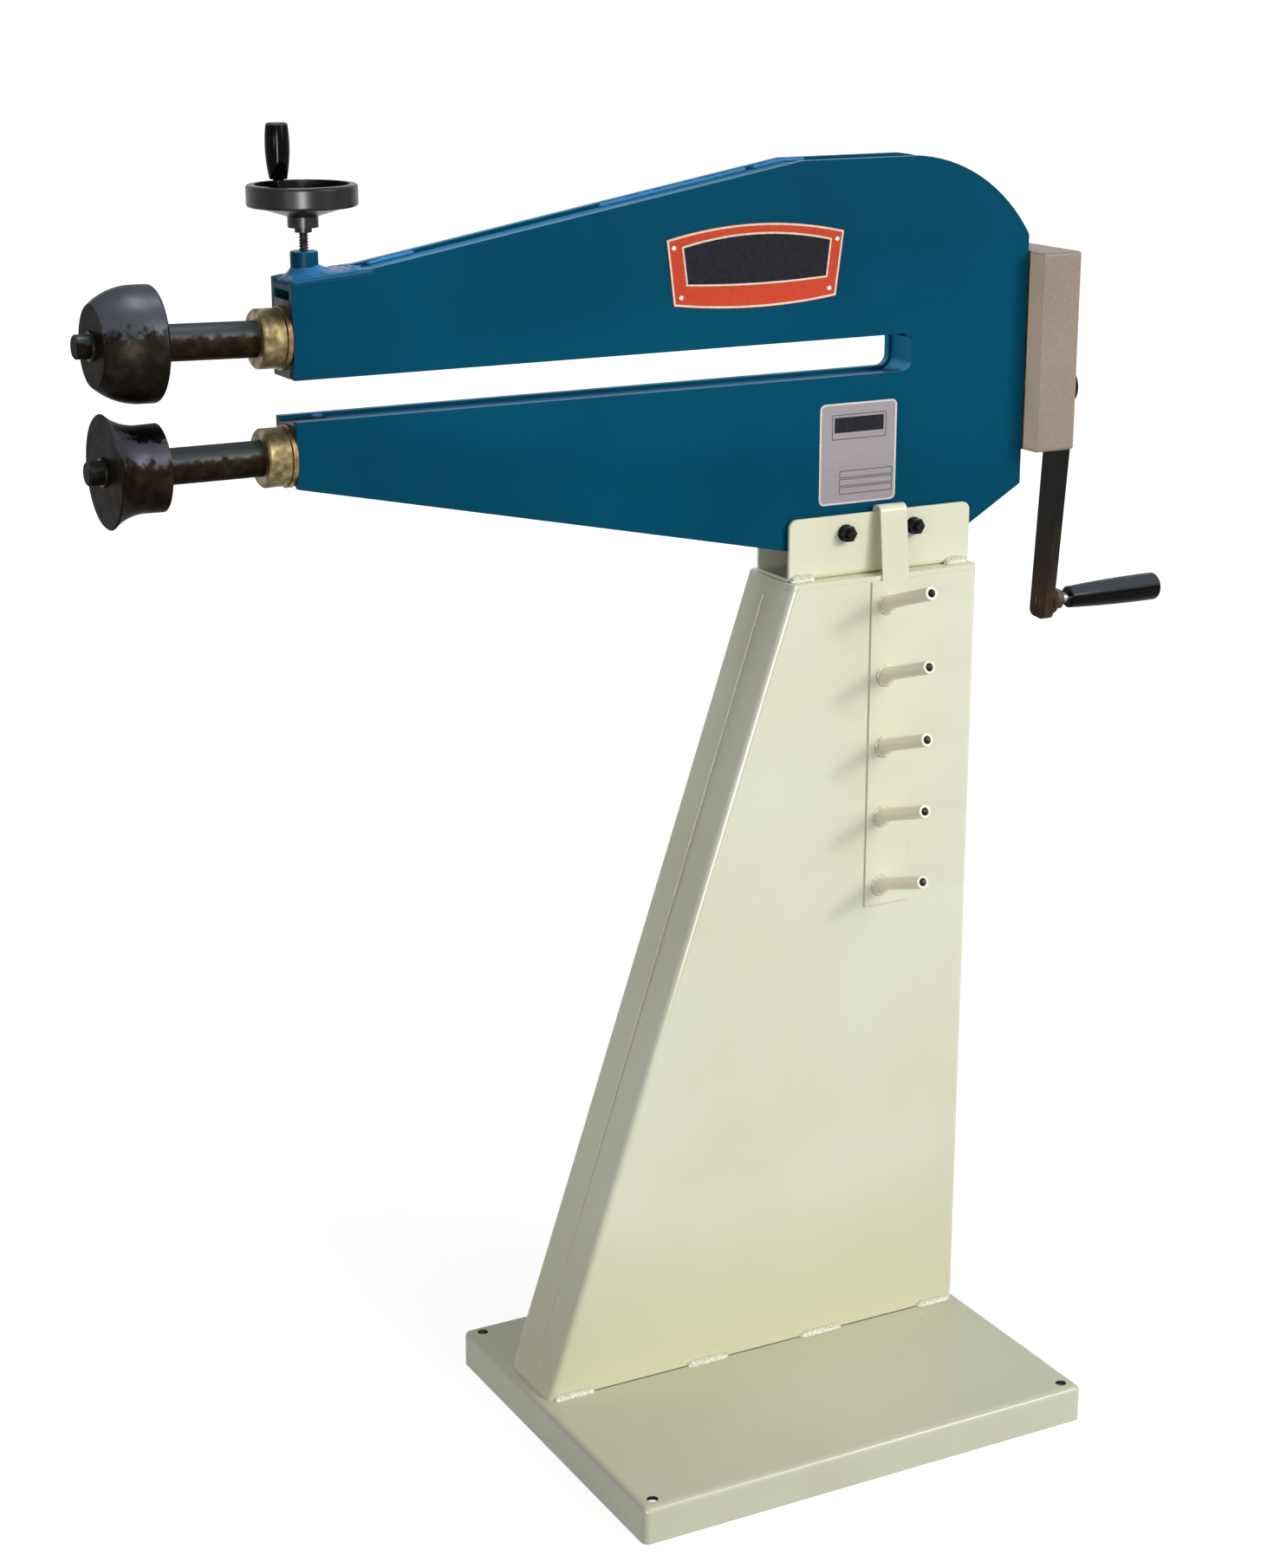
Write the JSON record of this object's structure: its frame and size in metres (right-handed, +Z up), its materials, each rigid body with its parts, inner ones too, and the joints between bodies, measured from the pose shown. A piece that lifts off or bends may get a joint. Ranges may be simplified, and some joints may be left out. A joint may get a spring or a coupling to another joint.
{
  "type": "manual bead roller",
  "caption": "Hand cranked bead roller on a floor stand: deep throat frame, two geared shafts with forming rolls, handwheel for the roll gap, and a tool rack.",
  "frame": {"origin": "centre of the underside of the base pan, on the floor", "axes": "+Z up, X along the two shafts with the forming rolls at -X and the crank at +X, -Y the side with the tool rack and the plates"},
  "size_m": [1.3833, 0.478, 1.5291],
  "materials": {
    "head_blue": "semi-gloss blue paint",
    "stand_cream": "semi-gloss cream paint",
    "cover_beige": "satin beige paint",
    "bright_steel": "turned, lightly oiled",
    "dark_steel": "dark, as machined and oiled",
    "gear_steel": "machined, greased",
    "bronze": "turned bearing bronze",
    "yellow_zinc": "dull yellow zinc plating",
    "fastener_zinc": "bright zinc plating",
    "black_steel": "black, worn at its edges",
    "wheel_black": "satin black",
    "grip_black": "glossy black",
    "label_metal": "printed plate, blank",
    "rating_metal": "satin plate, blank"
  },
  "bodies": {
    "frame": {"base_pan": "stand_cream", "stand_near_shell": "stand_cream", "stand_far_shell": "stand_cream", "stand_deck": "stand_cream", "head_cradle": "stand_cream", "cradle_bolts": "black_steel", "cradle_nuts": "black_steel", "cradle_washers": "black_steel", "near_frame_plate": "head_blue", "far_frame_plate": "head_blue", "top_spacer_strip": "head_blue", "bottom_spacer_strip": "head_blue", "slot_spacer_strip": "head_blue", "screw_boss": "head_blue", "lower_front_block": "dark_steel", "rear_bearing_block": "dark_steel", "lower_front_bush": "bronze", "lower_rear_bush": "bronze", "name_plate": "label_metal", "name_plate_rivets": "fastener_zinc", "rating_plate": "rating_metal", "cover_spacer_plate": "dark_steel", "cover_backing_plate": "cover_beige", "gear_cover": "cover_beige", "cover_posts": "dark_steel", "cover_screws": "fastener_zinc"},
    "upper_carrier": {"upper_slide_block": "dark_steel", "upper_front_bush": "bronze", "upper_rear_rocker": "dark_steel", "upper_rear_bush": "bronze"},
    "upper_roll_shaft": {"upper_shaft": "bright_steel", "upper_collar": "yellow_zinc", "upper_collar_screw": "dark_steel", "upper_roll": "bright_steel", "upper_roll_ring": "dark_steel", "upper_gear": "gear_steel", "upper_shaft_keys": "dark_steel", "upper_gear_washer": "fastener_zinc", "upper_gear_bolt": "fastener_zinc"},
    "lower_roll_shaft": {"lower_shaft": "bright_steel", "lower_collar": "yellow_zinc", "lower_collar_screw": "dark_steel", "lower_roll": "bright_steel", "lower_roll_ring": "dark_steel", "lower_gear": "gear_steel", "lower_shaft_keys": "dark_steel", "crank_sleeve": "dark_steel", "crank_arm": "black_steel", "crank_washer": "fastener_zinc", "crank_bolt": "fastener_zinc", "crank_grip_spindle": "bright_steel"},
    "crank_handle": {"crank_grip": "grip_black"},
    "swivel_foot": {"screw_foot": "dark_steel"},
    "screw_and_wheel": {"adjusting_screw": "dark_steel", "handwheel": "wheel_black", "handwheel_nut": "dark_steel", "handwheel_spindle": "bright_steel"},
    "wheel_handle": {"handwheel_grip": "grip_black"},
    "rack": {"tool_rack": "stand_cream", "tool_rack_pegs": "stand_cream"}
  },
  "joints": [
    {"name": "crank_spin", "type": "hinge", "parent": "frame", "child": "lower_roll_shaft", "pos_m": [0.4, 0.078, 1.192], "axis": [1, 0, 0], "continuous": true},
    {"name": "upper_carrier_hinge", "type": "hinge", "parent": "frame", "child": "upper_carrier", "pos_m": [0.337, 0.078, 1.2935], "axis": [0, -1, 0], "range_deg": [0, 0.9466]},
    {"name": "upper_shaft_spin", "type": "hinge", "parent": "upper_carrier", "child": "upper_roll_shaft", "pos_m": [0.337, 0.078, 1.2935], "axis": [0.9997, 0, -0.0241], "continuous": true},
    {"name": "screw_travel", "type": "slide", "parent": "frame", "child": "swivel_foot", "axis": [0, 0, -1], "range_m": [0, 0.01424]},
    {"name": "handwheel_spin", "type": "hinge", "parent": "swivel_foot", "child": "screw_and_wheel", "pos_m": [-0.524, 0.078, 1.45], "axis": [0, 0, -1], "range_deg": [0, 1707.9]},
    {"name": "wheel_handle_spin", "type": "hinge", "parent": "screw_and_wheel", "child": "wheel_handle", "pos_m": [-0.5351, 0.1143, 1.49], "axis": [0, 0, 1], "continuous": true},
    {"name": "crank_handle_spin", "type": "hinge", "parent": "lower_roll_shaft", "child": "crank_handle", "pos_m": [0.54, 0.10004, 0.9239], "axis": [1, 0, 0], "continuous": true},
    {"name": "rack_lift", "type": "slide", "parent": "frame", "child": "rack", "axis": [0, 0, 1], "range_m": [0, 0.024]}
  ],
  "couplings": [
    {"joint": "upper_shaft_spin", "follows": "crank_spin", "ratio": -1},
    {"joint": "screw_travel", "follows": "upper_carrier_hinge", "m_per_rad": 0.86123},
    {"joint": "handwheel_spin", "follows": "upper_carrier_hinge", "ratio": 1803.8}
  ]
}
